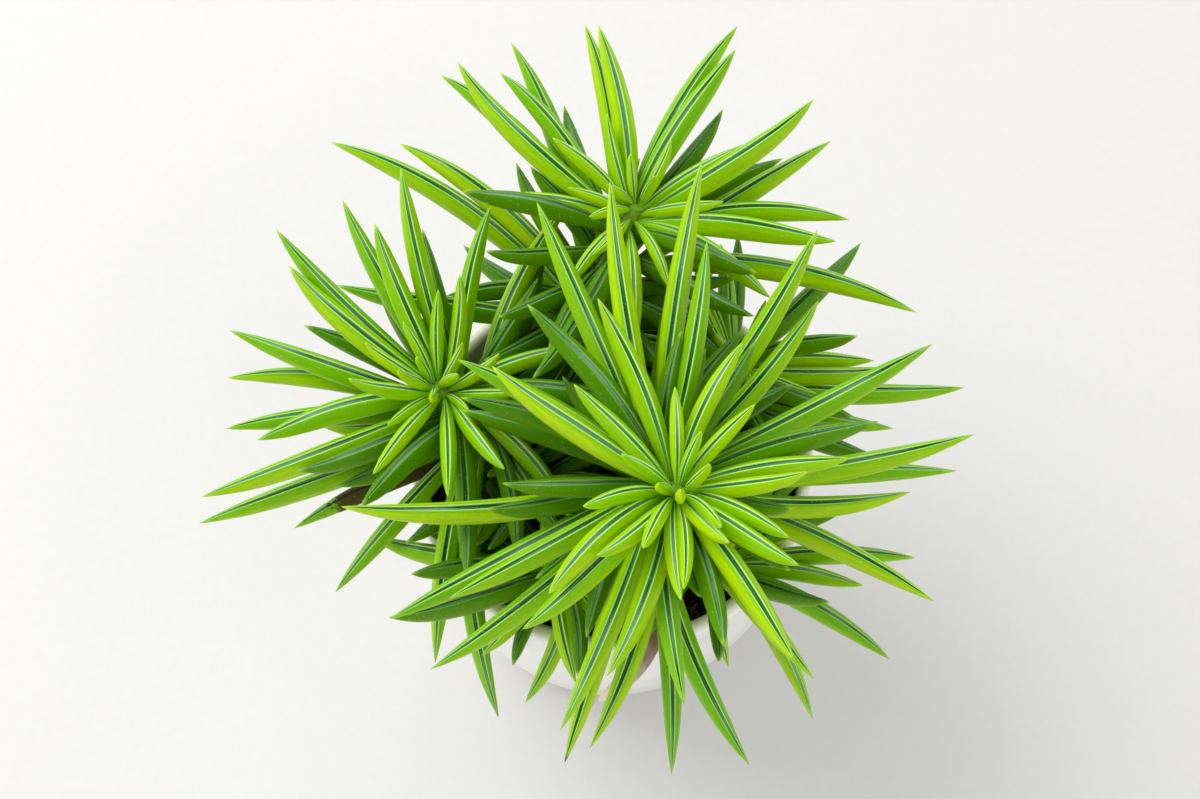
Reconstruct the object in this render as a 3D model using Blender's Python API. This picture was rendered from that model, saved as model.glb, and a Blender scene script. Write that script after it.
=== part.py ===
"""Potted peperomia: a glazed pot of potting mix with seven upright succulent shoots.

Each shoot is a stem that ends in a tuft of young leaves. The grown leaves sit round the stems as
separate solids. A leaf is a pod folded along its top edge: two close ridges, two flanks and a keel.
The frame has +Z up and its origin at the middle of the pot's flat underside. Lengths are in metres.
"""

import math
from collections import namedtuple

import bmesh
import bpy
from mathutils import Vector
from mathutils.bvhtree import BVHTree

MM = 0.001

# Pot: a turned bowl, steep at the rim and drawn in towards its base.
POT_HEIGHT = 0.115
POT_RIM_RADIUS = 0.065
POT_BASE_RADIUS = 0.045
POT_DRAW_IN = 2.2
POT_WALL = 0.005
POT_FLOOR = 0.006
POT_FOOT_EDGE = 0.002
POT_SIDES = 48

# Potting mix: a low crown that stops short of the rim.
SOIL_DROP = 0.013
SOIL_CROWN = 0.003
SOIL_SIDES = 48
FIT_GAP = 0.0003

# Stems stand upright in blind sockets in the mix.
STEM_FOOT_RADIUS = 0.0036
STEM_TIP_RADIUS = 0.0026
STEM_SIDES = 10
STEM_DEPTH = 0.018
STEM_RING_SPACING = 0.013

# Grown leaves: across the flanks, ridge to keel, and between the two ridges. RIDGE_SHARE of the
# depth is over the midrib. A short leaf is slimmer, down to LEAF_LEAST of the full section.
LEAF_WIDTH = 0.0068
LEAF_DEPTH = 0.0098
RIDGE_GAP = 0.0018
RIDGE_SHARE = 0.42
LEAF_STATIONS = 8
LEAF_FULL_LENGTH = 0.085
LEAF_LEAST = 0.55

# Along a leaf: the size of its foot, where it is full, where its point starts, and how blunt that is.
# FOOT_REACH is how much of the foot's depth a steep leaf keeps clear of its stem.
FOOT_SIZE = 0.30
FOOT_REACH = 0.6
FOOT_END = 0.28
POINT_START = 0.64
POINT_POWER = 0.62

# Young leaves of a stem's tuft: two tiers of five, grown in one piece with the stem. The upper tier
# stands over the gaps of the lower one.
YOUNG_LENGTHS = (0.024, 0.016)
YOUNG_RISES = (42, 58)
YOUNG_CURLS = (10, -14)
YOUNG_HALF = (0.0014, 0.0021)
TUFT_PITCH = 0.0032
TUFT_TAPER = 0.22
TUFT_UPRIGHT = 2.0

Shoot = namedtuple("Shoot", "name foot tip start leaves")

# foot: the stem's place, in shares of the mix's radius. tip: how far it leans along X and Y, and
# how high it stands over the mix, in mm. start: the azimuth of the first young leaf in degrees.
# A leaf row is (drop below the tip in mm, azimuth, rise, length in mm, bow, sway), angles in
# degrees. Azimuth 0 is +X and 90 is +Y. Bow bends the leaf down along its length, and sway turns
# it clockwise seen from above, both about the heading that azimuth and rise give.
SHOOTS = (
    Shoot("front", (0.13, -0.23), (8, -24, 84), 20, (
        (8, 26, 8, 86, 6, -6),
        (8, 47, 18, 67, 6, -12),
        (8, 79, 20, 69, 10, -6),
        (8, 154, 18, 67, 8, -4),
        (8, -147, 8, 70, 12, 8),
        (8, -57, 10, 73, 14, -6),
        (12, 7, 6, 90, -6, -8),
        (14, 53, 30, 84, 6, -10),
        (12, 100, 20, 87, 6, 6),
        (18, 81, 24, 92, 8, 4),
        (18, 115, 20, 87, 8, 2),
        (14, -140, -4, 85, 16, 14),
        (12, -112, -8, 76, 16, 8),
        (18, -3, 2, 73, -8, -16),
        (20, -24, 1, 85, 10, 6),
        (20, -70, -12, 89, 24, -20),
        (22, -105, -12, 82, 24, 20),
        (24, -173, 5, 91, -8, 10),
        (24, -151, -2, 86, 12, 6),
        (28, -57, -10, 85, 22, 10),
        (34, -86, -14, 88, 26, 6),
        (38, -107, -15, 87, 20, 4),
        (45, -1, 8, 92, 6, 0),
    )),
    Shoot("left", (-0.57, 0.07), (-24, 2, 59), 50, (
        (9, 141, 24, 71, 6, 12),
        (9, 203, 0, 78, 4, 6),
        (10, 105, 28, 69, 6, 6),
        (10, 78, 22, 57, 6, 10),
        (16, 166, 16, 73, 6, 6),
        (16, 125, 27, 71, 6, 10),
        (20, 187, 8, 73, 10, -4),
        (20, 64, 20, 68, 10, 10),
        (26, 202, 2, 90, 2, 2),
        (28, -132, -10, 68, 16, 2),
        (32, 174, 13, 82, 16, -12),
        (30, -86, -18, 94, 30, -18),
        (40, 206, -2, 68, 10, -6),
    )),
    Shoot("back", (-0.20, 0.66), (21, 21, 79), 75, (
        (10, 56, 26, 68, 8, 8),
        (12, 100, 26, 62, 10, -12),
        (12, 2, 4, 67, 12, 12),
        (14, 127, 15, 61, 10, -12),
        (18, 22, 18, 71, 6, -2),
        (22, 134, 14, 76, 12, -12),
        (24, 116, 27, 72, 12, -14),
        (24, -11, 2, 95, 12, 12),
        (42, 144, 20, 76, 14, -12),
        (48, 150, 18, 96, 14, -12),
    )),
    Shoot("right", (0.55, 0.36), (9, 7, 34), 10, (
        (12, -5, 8, 73, 2, -10),
        (12, -19, 4, 53, 4, -10),
    )),
    Shoot("low_right", (0.47, -0.56), (5, -10, 22), 40, (
        (10, -2, 6, 62, 6, 6),
        (8, -36, 6, 62, 24, 4),
    )),
    Shoot("low_front", (-0.26, -0.60), (-2, -5, 20), 30, (
        (8, -108, 0, 46, 40, 24),
    )),
    Shoot("middle", (-0.40, -0.12), (-4, 2, 16), 0, ()),
)

POT_WHITE = (0.86, 0.86, 0.84)
SOIL_BROWN = (0.055, 0.034, 0.022)
STEM_GREEN = (0.26, 0.44, 0.08)
LEAF_GREEN = (0.14, 0.42, 0.03)
DRY_BROWN = (0.26, 0.19, 0.09)
WITHERED = "left_leaf_13"


def clear_scene():
    for old in list(bpy.data.objects):
        bpy.data.objects.remove(old, do_unlink=True)


def material(name, colour, roughness):
    made = bpy.data.materials.new(name)
    made.use_nodes = True
    shader = made.node_tree.nodes["Principled BSDF"]
    shader.inputs["Base Color"].default_value = (*colour, 1.0)
    shader.inputs["Roughness"].default_value = roughness
    shader.inputs["Metallic"].default_value = 0.0
    return made


def new_object(name, points, faces, finish):
    mesh = bpy.data.meshes.new(name)
    mesh.from_pydata([tuple(point) for point in points], [], faces)
    mesh.materials.append(finish)
    mesh.shade_smooth()
    mesh.set_sharp_from_angle(angle=math.radians(50))
    made = bpy.data.objects.new(name, mesh)
    bpy.context.scene.collection.objects.link(made)
    return made


def turned(profile, sides):
    """Points and faces of a profile of (radius, height) turned round Z. It runs up the outside,
    and both of its ends are on the axis."""
    points, faces = [], []
    rings = profile[1:-1]
    for radius, height in rings:
        for side in range(sides):
            angle = 2 * math.pi * side / sides
            points.append((radius * math.cos(angle), radius * math.sin(angle), height))
    bottom = len(points)
    points.append((0.0, 0.0, profile[0][1]))
    top = len(points)
    points.append((0.0, 0.0, profile[-1][1]))
    for side in range(sides):
        after = (side + 1) % sides
        faces.append((bottom, after, side))
        for ring in range(len(rings) - 1):
            low, high = ring * sides, (ring + 1) * sides
            faces.append((low + side, low + after, high + after, high + side))
        last = (len(rings) - 1) * sides
        faces.append((last + side, last + after, top))
    return points, faces


# %% Pot


def pot_outer_radius(height):
    share = min(max(height / POT_HEIGHT, 0.0), 1.0)
    return POT_RIM_RADIUS - (POT_RIM_RADIUS - POT_BASE_RADIUS) * (1 - share) ** POT_DRAW_IN


def pot_inner_radius(height):
    return pot_outer_radius(height) - POT_WALL


def pot_profile():
    lip = POT_WALL / 2
    profile = [(0.0, 0.0), (POT_BASE_RADIUS - POT_FOOT_EDGE, 0.0)]
    wall_steps = 10
    shoulder = POT_HEIGHT - lip
    for step in range(wall_steps + 1):
        height = POT_FOOT_EDGE + (shoulder - POT_FOOT_EDGE) * step / wall_steps
        profile.append((pot_outer_radius(height), height))
    middle = pot_outer_radius(shoulder) - lip
    for step in range(1, 6):
        angle = math.pi * step / 6
        profile.append((middle + lip * math.cos(angle), shoulder + lip * math.sin(angle)))
    for step in range(wall_steps, -1, -1):
        height = POT_FLOOR + POT_FOOT_EDGE + (shoulder - POT_FLOOR - POT_FOOT_EDGE) * step / wall_steps
        profile.append((pot_inner_radius(height), height))
    profile.append((pot_inner_radius(POT_FLOOR) - POT_FOOT_EDGE, POT_FLOOR))
    profile.append((0.0, POT_FLOOR))
    return profile


def make_pot(finish):
    points, faces = turned(pot_profile(), POT_SIDES)
    return new_object("pot", points, faces, finish)


# %% Potting mix

SOIL_TOP = POT_HEIGHT - SOIL_DROP
SOIL_BOTTOM = POT_FLOOR + FIT_GAP


def soil_radius(height):
    return pot_inner_radius(height) - FIT_GAP


def soil_profile():
    edge = SOIL_TOP - SOIL_CROWN
    profile = [(0.0, SOIL_BOTTOM), (soil_radius(SOIL_BOTTOM) - POT_FOOT_EDGE, SOIL_BOTTOM)]
    steps = 8
    for step in range(steps + 1):
        height = SOIL_BOTTOM + POT_FOOT_EDGE + (edge - SOIL_BOTTOM - POT_FOOT_EDGE) * step / steps
        # The pot's faceted wall bulges in between its rings, so the mix keeps twice the gap.
        profile.append((soil_radius(height) - FIT_GAP, height))
    for share in (0.85, 0.65, 0.4, 0.2):
        profile.append((soil_radius(edge) * share, edge + SOIL_CROWN * (1 - share**2)))
    profile.append((0.0, SOIL_TOP))
    return profile


def stem_foot(shoot):
    reach = soil_radius(SOIL_TOP)
    return Vector((shoot.foot[0] * reach, shoot.foot[1] * reach, SOIL_TOP))


def make_soil(finish):
    points, faces = turned(soil_profile(), SOIL_SIDES)
    soil = new_object("soil", points, faces, finish)
    for shoot in SHOOTS:
        foot = stem_foot(shoot)
        depth = STEM_DEPTH + FIT_GAP
        radius = STEM_FOOT_RADIUS + 2 * FIT_GAP
        socket, socket_faces = turned(
            [(0, -depth), (radius, -depth), (radius, depth), (0, depth)], 2 * STEM_SIDES
        )
        cutter = new_object(
            f"{shoot.name}_socket", [Vector(point) + foot for point in socket], socket_faces, finish
        )
        cutter.hide_render = True
        cutter.display_type = "WIRE"
        cut = soil.modifiers.new(f"{shoot.name}_socket", "BOOLEAN")
        cut.operation = "DIFFERENCE"
        cut.solver = "EXACT"
        cut.object = cutter
    return soil


# %% Stems with their tufts of young leaves


def stem_point(shoot, share):
    """The stem's axis: it leaves the mix upright and leans out further up."""
    foot = stem_foot(shoot)
    tip = foot + Vector(shoot.tip) * MM
    bend = foot + Vector((0, 0, shoot.tip[2] * MM * 0.5))
    return foot.lerp(bend, share).lerp(bend.lerp(tip, share), share)


def stem_direction(shoot, share):
    step = 0.01
    return (stem_point(shoot, share + step) - stem_point(shoot, share - step)).normalized()


def stem_radius(share):
    return STEM_FOOT_RADIUS + (STEM_TIP_RADIUS - STEM_FOOT_RADIUS) * share


def bearing(azimuth, rise):
    across = math.cos(rise)
    return Vector((across * math.cos(azimuth), across * math.sin(azimuth), math.sin(rise)))


def tuft_frame(shoot):
    """East, north and up of the tuft. A leaning stem turns most of the way back upright there."""
    up = (stem_direction(shoot, 1) + Vector((0, 0, TUFT_UPRIGHT))).normalized()
    east = Vector((0, 1, 0)).cross(up).normalized()
    return east, up.cross(east), up


def in_frame(frame, azimuth, rise):
    """The bearing in a tuft's own frame."""
    aim = bearing(azimuth, rise)
    return frame[0] * aim.x + frame[1] * aim.y + frame[2] * aim.z


def stem_rings(shoot):
    """(centre, direction, radius) of each ring, from the buried end up to the tuft's last ring."""
    up = Vector((0, 0, 1))
    foot = stem_foot(shoot)
    rings = [(foot - up * STEM_DEPTH, up, STEM_FOOT_RADIUS), (foot, up, STEM_FOOT_RADIUS)]
    height = shoot.tip[2] * MM
    tuft = 2 * TUFT_PITCH / height
    steps = max(2, round(height * (1 - tuft) / STEM_RING_SPACING))
    for step in range(1, steps):
        share = (1 - tuft) * step / steps
        rings.append((stem_point(shoot, share), stem_direction(shoot, share), stem_radius(share)))
    upright = tuft_frame(shoot)[2]
    for tier in range(3):
        centre = stem_point(shoot, 1 - tuft) + upright * TUFT_PITCH * tier
        rings.append((centre, upright, stem_radius(1) * (1 - TUFT_TAPER * tier)))
    return rings


def young_leaf(points, faces, base, tier, azimuth, frame):
    """A short pod grown out of one face of the tuft: base holds its four corners, in order."""
    length = YOUNG_LENGTHS[tier]
    half_width, half_depth = YOUNG_HALF
    centre = sum((points[corner] for corner in base), Vector()) / 4
    rise, curl = math.radians(YOUNG_RISES[tier]), math.radians(YOUNG_CURLS[tier])
    side = in_frame(frame, azimuth + math.pi / 2, 0)
    up = in_frame(frame, azimuth, rise + math.pi / 2)
    before = list(base)
    for reach, size in ((0.16, 0.62), (0.45, 1.0), (0.78, 0.7)):
        spot = centre + in_frame(frame, azimuth, rise + curl * (1 - 2 * reach)) * length * reach
        ring = []
        for across, along in ((-1, -1), (1, -1), (1, 1), (-1, 1)):
            points.append(spot + (side * half_width * across + up * half_depth * along) * size)
            ring.append(len(points) - 1)
        for corner in range(4):
            after = (corner + 1) % 4
            faces.append((before[corner], before[after], ring[after]))
            faces.append((before[corner], ring[after], ring[corner]))
        before = ring
    points.append(centre + in_frame(frame, azimuth, rise - curl / 2) * length)
    for corner in range(4):
        faces.append((before[corner], before[(corner + 1) % 4], len(points) - 1))


def make_stem(shoot, finish):
    points, faces = [], []
    rings = stem_rings(shoot)
    frame = tuft_frame(shoot)
    for centre, direction, radius in rings:
        east = Vector((0, 1, 0)).cross(direction).normalized()
        north = direction.cross(east)
        for side in range(STEM_SIDES):
            angle = math.radians(shoot.start) + 2 * math.pi * side / STEM_SIDES
            points.append(centre + (east * math.cos(angle) + north * math.sin(angle)) * radius)
    faces.append(tuple(reversed(range(STEM_SIDES))))
    for ring in range(len(rings) - 1):
        tier = ring - (len(rings) - 3)
        for side in range(STEM_SIDES):
            after = (side + 1) % STEM_SIDES
            low, high = ring * STEM_SIDES, (ring + 1) * STEM_SIDES
            if tier in (0, 1) and (side + tier) % 2 == 0:
                azimuth = math.radians(shoot.start) + 2 * math.pi * (side + 0.5) / STEM_SIDES
                base = (low + side, low + after, high + after, high + side)
                young_leaf(points, faces, base, tier, azimuth, frame)
            else:
                faces.append((low + side, low + after, high + after))
                faces.append((low + side, high + after, high + side))
    last = (len(rings) - 1) * STEM_SIDES
    centre, direction, radius = rings[-1]
    points.append(centre + direction * radius)
    for side in range(STEM_SIDES):
        faces.append((last + side, last + (side + 1) % STEM_SIDES, len(points) - 1))
    return new_object(f"{shoot.name}_stem", points, faces, finish)


# %% Grown leaves


def leaf_fullness(share):
    """Size of the section along the leaf: a narrow foot, a long full middle and a drawn-out point."""
    foot = min(1.0, FOOT_SIZE + (1 - FOOT_SIZE) * share / FOOT_END)
    point = min(1.0, ((1 - share) / (1 - POINT_START)) ** POINT_POWER)
    return foot * point


def leaf_section(share, length, grow):
    """The five corners of the section as (across, up), from the left ridge down round the keel."""
    size = min(1.0, LEAF_LEAST + (1 - LEAF_LEAST) * length / LEAF_FULL_LENGTH) * leaf_fullness(share)
    width = LEAF_WIDTH / 2 * size
    depth = LEAF_DEPTH * size
    ridge = min(RIDGE_GAP / 2, width * 0.45)
    crest, waist, keel = depth * RIDGE_SHARE, -depth * 0.02, -depth * (1 - RIDGE_SHARE)
    corners = ((-ridge, crest), (-width, waist), (0, keel), (width, waist), (ridge, crest))
    return [(across * (1 + grow / math.hypot(across, up)), up * (1 + grow / math.hypot(across, up)))
            for across, up in corners]


def leaf_foot(shoot, drop, heading):
    """Where a leaf that starts along this heading leaves its stem, just clear of it."""
    share = min(max(1 - drop / shoot.tip[2], 0.1), 1.0)
    direction = stem_direction(shoot, share)
    slant = heading.dot(direction)
    outward = (heading - direction * slant).normalized()
    half_foot = LEAF_DEPTH * leaf_fullness(0) * FOOT_REACH
    return stem_point(shoot, share) + outward * (stem_radius(share) + 2 * FIT_GAP + half_foot * abs(slant))


def leaf_mesh(shoot, row, shift, turn, lift, grow):
    """Points and faces of a leaf. Its foot may be shifted down the stem while its point stays, and
    then the whole leaf may be turned and lifted."""
    drop, azimuth, rise, length, bow, sway = row
    azimuth, rise, bow, sway = (math.radians(angle) for angle in (azimuth, rise, bow, sway))
    start = bearing(azimuth + sway, rise + bow)
    foot = leaf_foot(shoot, drop, start)
    if shift:
        point = foot + bearing(azimuth, rise) * length * MM
        foot = leaf_foot(shoot, drop + shift, start)
        reach = point - foot
        azimuth, rise = math.atan2(reach.y, reach.x), math.asin(reach.z / reach.length)
        length = reach.length / MM
    azimuth, rise = azimuth + math.radians(turn), rise + math.radians(lift)
    step = length * MM / LEAF_STATIONS

    def heading(along):
        return bearing(azimuth + sway * (1 - 2 * along), rise + bow * (1 - 2 * along))

    spot = foot - heading(0) * grow
    points, faces = [], []
    for station in range(LEAF_STATIONS):
        along = station / LEAF_STATIONS
        side = heading(along).cross(Vector((0, 0, 1))).normalized()
        up = side.cross(heading(along))
        for across, height in leaf_section(along, length * MM, grow):
            points.append(spot + side * across + up * height)
        spot = spot + heading(along + 0.5 / LEAF_STATIONS) * step
    points.append(spot + heading(1) * grow * 3)
    corners = 5
    for station in range(LEAF_STATIONS - 1):
        low, high = station * corners, (station + 1) * corners
        for corner in range(corners):
            after = (corner + 1) % corners
            faces.append((low + corner, high + corner, high + after))
            faces.append((low + corner, high + after, low + after))
    last = (LEAF_STATIONS - 1) * corners
    for corner in range(corners):
        faces.append((last + corner, len(points) - 1, last + (corner + 1) % corners))
    faces.append(tuple(range(corners)))
    return points, faces


def tree_of(points, faces):
    return BVHTree.FromPolygons([tuple(point) for point in points], faces, epsilon=0.0)


def tree_of_object(made):
    """The object's faces with its Booleans worked out."""
    return BVHTree.FromObject(made, bpy.context.evaluated_depsgraph_get())


def tries():
    """Small shifts, turns and lifts of a leaf, the smallest first."""
    steps = [(shift, turn, lift) for shift in range(-8, 33, 2) for turn in range(-60, 61, 2)
             for lift in range(-30, 31, 3)]
    return sorted(steps, key=lambda step: (0.3 * step[0] ** 2 + 2 * step[1] ** 2 + step[2] ** 2, step))


def place_leaf(shoot, row, placed):
    """The leaf in the first pose that touches nothing placed before it, its gap counted in."""
    for pose in tries():
        trial = tree_of(*leaf_mesh(shoot, row, *pose, 1.2 * FIT_GAP))
        if not any(trial.overlap(other) for other in placed):
            break
    points, faces = leaf_mesh(shoot, row, *pose, 0.0)
    placed.append(tree_of(points, faces))
    print(f"{shoot.name} {row[:4]} shifted, turned and lifted by {pose}")
    return points, faces


def main():
    clear_scene()
    glaze = material("white_glaze", POT_WHITE, 0.12)
    mix = material("potting_mix", SOIL_BROWN, 0.95)
    stem_skin = material("stem_skin", STEM_GREEN, 0.45)
    leaf_skin = material("leaf_skin", LEAF_GREEN, 0.3)
    dry_skin = material("dry_leaf", DRY_BROWN, 0.8)
    still = [make_pot(glaze), make_soil(mix)]
    still += [make_stem(shoot, stem_skin) for shoot in SHOOTS]
    placed = [tree_of_object(made) for made in still]
    for shoot in SHOOTS:
        for number, row in enumerate(shoot.leaves, 1):
            name = f"{shoot.name}_leaf_{number:02d}"
            points, faces = place_leaf(shoot, row, placed)
            new_object(name, points, faces, dry_skin if name == WITHERED else leaf_skin)


main()
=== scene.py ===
# %% [markdown]
# # Potted peperomia
#
# The plant is a group of upright succulent shoots in a white glazed pot. Its leaves are pods: each is
# folded along its top edge, so that the upper side of the leaf is only a narrow dark window between
# two pale ridges, and the bright flanks are its underside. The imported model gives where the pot, the
# mix, the stems and the grown leaves are. This script gives them their surfaces, and it adds what
# the model has no room for: the young and the inner leaves, a dried one, and the chips of the mix.

# %% Load the frame
import math
import random

import bmesh
import bpy
import numpy as np
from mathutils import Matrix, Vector, noise
from mathutils.bvhtree import BVHTree


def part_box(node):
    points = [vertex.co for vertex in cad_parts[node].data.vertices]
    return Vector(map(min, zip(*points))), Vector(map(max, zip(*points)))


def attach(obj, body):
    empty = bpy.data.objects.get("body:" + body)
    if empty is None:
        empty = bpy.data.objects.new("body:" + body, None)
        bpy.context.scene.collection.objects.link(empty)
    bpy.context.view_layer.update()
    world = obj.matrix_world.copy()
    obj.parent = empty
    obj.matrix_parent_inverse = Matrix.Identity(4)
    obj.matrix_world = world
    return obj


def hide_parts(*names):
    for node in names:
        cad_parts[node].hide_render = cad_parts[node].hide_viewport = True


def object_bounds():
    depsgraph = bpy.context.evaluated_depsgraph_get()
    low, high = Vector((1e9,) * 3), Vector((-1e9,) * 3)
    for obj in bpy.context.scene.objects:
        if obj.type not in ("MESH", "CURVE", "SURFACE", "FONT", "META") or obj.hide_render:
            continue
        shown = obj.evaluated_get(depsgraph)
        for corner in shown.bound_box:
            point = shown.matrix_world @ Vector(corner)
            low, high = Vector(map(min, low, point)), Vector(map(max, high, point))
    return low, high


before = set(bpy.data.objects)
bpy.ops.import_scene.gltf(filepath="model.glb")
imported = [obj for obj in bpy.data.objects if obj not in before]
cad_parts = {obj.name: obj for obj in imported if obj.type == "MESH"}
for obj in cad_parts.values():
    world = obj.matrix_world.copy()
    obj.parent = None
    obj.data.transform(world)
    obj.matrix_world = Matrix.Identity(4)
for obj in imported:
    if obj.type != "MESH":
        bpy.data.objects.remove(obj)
cad_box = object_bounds()
MM = 0.001
SHOOTS = ("front", "left", "back", "right", "low_right", "low_front", "middle")
GROWN = sorted(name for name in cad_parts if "_leaf_" in name)
print(f"{len(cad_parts)} nodes, {len(GROWN)} of them grown leaves")

# %% [markdown]
# ## Helpers
#
# Paint charts and screens give colours as sRGB, and a shader wants them linear, so one function turns
# hex values over. Another adds a node with its settings and its links in one call, for materials and
# for Geometry Nodes alike. That keeps a tree readable as a list of steps.


# %% Colour and nodes
def colour(code):
    """An sRGB hex value as linear red, green, blue and alpha."""
    parts = [int(code[start:start + 2], 16) / 255 for start in (1, 3, 5)]
    linear = [part / 12.92 if part <= 0.04045 else ((part + 0.055) / 1.055) ** 2.4 for part in parts]
    return (*linear, 1.0)


def live(sockets, key):
    """The socket of this name, or of this number, among those that the node's settings leave on."""
    usable = [socket for socket in sockets if socket.enabled]
    return usable[key] if isinstance(key, int) else next(socket for socket in usable if socket.name == key)


def feed(node, inputs):
    """Gives a node its inputs, by name or in their order.

    An input takes a socket to link, a list of sockets to link, a hex colour or a plain value.
    """
    for key, value in inputs.items() if isinstance(inputs, dict) else enumerate(inputs):
        socket = live(node.inputs, key)
        if isinstance(value, (list, bpy.types.NodeSocket)):
            for one in value if isinstance(value, list) else [value]:
                node.id_data.links.new(one, socket)
        else:
            socket.default_value = colour(value) if str(value).startswith("#") else value


def add(tree, kind, inputs=(), out=0, **settings):
    """Adds a node with its settings and inputs, and returns the output that is asked for."""
    node = tree.nodes.new(kind)
    for name, setting in settings.items():
        setattr(node, name, setting)
    feed(node, inputs)
    return live(node.outputs, out) if node.outputs else None


def set_stops(ramp, stops):
    """Gives a colour ramp its stops, as (place, hex colour)."""
    while len(ramp.elements) < len(stops):
        ramp.elements.new(1.0)
    for element, (place, code) in zip(ramp.elements, stops):
        element.position = place
        element.color = colour(code)


def set_curve(mapping, points):
    """Gives a float curve its points, as (place, value)."""
    curve = mapping.curves[0]
    while len(curve.points) < len(points):
        curve.points.new(0.5, 0.5)
    for point, place in zip(curve.points, points):
        point.location = place
        point.handle_type = "AUTO"
    mapping.update()


# %% [markdown]
# Geometry Nodes trees all end in the same way here: the result is made into a plain mesh, and the
# modifier goes. A finished piece then holds its place in its mesh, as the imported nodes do.


# %% From a tree to a finished piece
def linked(name, data):
    """An object of this name in the scene."""
    made = bpy.data.objects.new(name, data)
    bpy.context.scene.collection.objects.link(made)
    return made


def new_tree(name, sockets):
    """A Geometry Nodes tree with these named inputs: (name, kind of socket)."""
    tree = bpy.data.node_groups.new(name, "GeometryNodeTree")
    tree.interface.new_socket("Geometry", in_out="INPUT", socket_type="NodeSocketGeometry")
    for label, kind in sockets:
        tree.interface.new_socket(label, in_out="INPUT", socket_type=kind)
    tree.interface.new_socket("Geometry", in_out="OUTPUT", socket_type="NodeSocketGeometry")
    return tree, tree.nodes.new("NodeGroupInput").outputs


def grown_from(source, tree, values, name):
    """The piece that the tree makes from a source mesh. The source goes."""
    holder = linked("holder", source)
    modifier = holder.modifiers.new("grow", "NODES")
    modifier.node_group = tree
    for item in tree.interface.items_tree:
        if item.in_out == "INPUT" and item.name in values:
            modifier[item.identifier] = values[item.name]
    graph = bpy.context.evaluated_depsgraph_get()
    mesh = bpy.data.meshes.new_from_object(holder.evaluated_get(graph), depsgraph=graph)
    bpy.data.objects.remove(holder)
    bpy.data.meshes.remove(source)
    mesh.name = name
    return linked(name, mesh)


def turn_out(mesh):
    """Turns a closed mesh the right way out if its faces point in, and says what it holds."""
    shape = bmesh.new()
    shape.from_mesh(mesh)
    bmesh.ops.remove_doubles(shape, verts=shape.verts, dist=1e-6)
    open_edges = sum(len(edge.link_faces) != 2 for edge in shape.edges)
    if shape.calc_volume(signed=True) < 0:
        bmesh.ops.reverse_faces(shape, faces=shape.faces)
    shape.to_mesh(mesh)
    shape.free()
    mesh.shade_smooth()
    return open_edges


def finish_piece(piece, slot, *nodes):
    """A finished piece stands for its CAD nodes: it goes under the root body, and the nodes are hidden. The
    slot is not used.
    """
    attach(piece, "root")
    if nodes:
        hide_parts(*nodes)


# %% [markdown]
# ## The midribs of the grown leaves
#
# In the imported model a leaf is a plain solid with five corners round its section: two ridges, two
# flanks and a keel. Its vertices are walked ring by ring from the point, because the closest two of
# each ring are its ridges and the farthest is its keel. That gives a midrib, the way that the leaf
# faces, and how deep it is, and a finer leaf can be grown along it.


# %% Read a leaf
WELD = 0.02 * MM


def joined_mesh(node):
    """A copy of a node's mesh with its loose triangles joined at their corners."""
    shape = bmesh.new()
    shape.from_mesh(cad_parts[node].data)
    bmesh.ops.remove_doubles(shape, verts=shape.verts, dist=WELD)
    shape.verts.ensure_lookup_table()
    return shape


def leaf_rings(shape):
    """The leaf's rings of five vertices from its foot, and its point."""
    spots = [vertex.co for vertex in shape.verts]
    ends = max(((a, b) for a in range(len(spots)) for b in range(a)),
               key=lambda pair: (spots[pair[0]] - spots[pair[1]]).length)

    def lonely(index):
        return min((spots[index] - spot).length for at, spot in enumerate(spots) if at != index)

    tip = shape.verts[max(ends, key=lonely)]
    seen, ring, rings = {tip}, [tip], []
    while True:
        after = {edge.other_vert(vertex) for vertex in ring for edge in vertex.link_edges} - seen
        if not after:
            break
        ring = sorted(after, key=lambda vertex: vertex.index)
        seen |= after
        rings.append([vertex.co.copy() for vertex in ring])
    return rings[::-1], tip.co.copy()


KEEL_SHARE = 0.58


def read_leaf(node):
    """(midrib points, upward directions, depth of the leaf) of a grown leaf."""
    shape = joined_mesh(node)
    rings, tip = leaf_rings(shape)
    shape.free()
    spine, ups, depths = [], [], []
    for ring in rings:
        pairs = [(a, b) for a in range(5) for b in range(a)]
        left, right = min(pairs, key=lambda pair: (ring[pair[0]] - ring[pair[1]]).length)
        crest = (ring[left] + ring[right]) / 2
        keel = max(ring, key=lambda corner: (corner - crest).length)
        ups.append((crest - keel).normalized())
        depths.append((crest - keel).length)
        spine.append(keel + ups[-1] * depths[-1] * KEEL_SHARE)
    spine.append(tip)
    ups.append(ups[-1])
    return spine, ups, max(depths)


midribs = {name: read_leaf(name) for name in GROWN}
lengths = [sum((b - a).length for a, b in zip(spine, spine[1:])) for spine, _, _ in midribs.values()]
print(f"leaves {min(lengths) / MM:.0f} to {max(lengths) / MM:.0f} mm long")

# %% [markdown]
# ## The stems' axes
#
# A young leaf needs a place on a stem. A stem leaves the mix upright and leans out with the square of
# its height, so its foot and one slice through it below its tuft give the whole axis. The stem ends
# in the highest vertex that lies on that axis.

# %% Read a stem
MIX_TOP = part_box("soil")[1].z
FOOT_SLICE = 5 * MM
TUFT_LENGTH = 36 * MM
LEAST_REACH = 0.25
ON_AXIS = 0.8 * MM


def slice_centre(shape, height):
    """The middle of a stem's section at this height."""
    cuts = []
    for edge in shape.edges:
        low, high = sorted((vertex.co for vertex in edge.verts), key=lambda spot: spot.z)
        if low.z < height < high.z:
            cuts.append(low.lerp(high, (height - low.z) / (high.z - low.z)))
    return Vector(((min(c.x for c in cuts) + max(c.x for c in cuts)) / 2,
                   (min(c.y for c in cuts) + max(c.y for c in cuts)) / 2, height))


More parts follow.
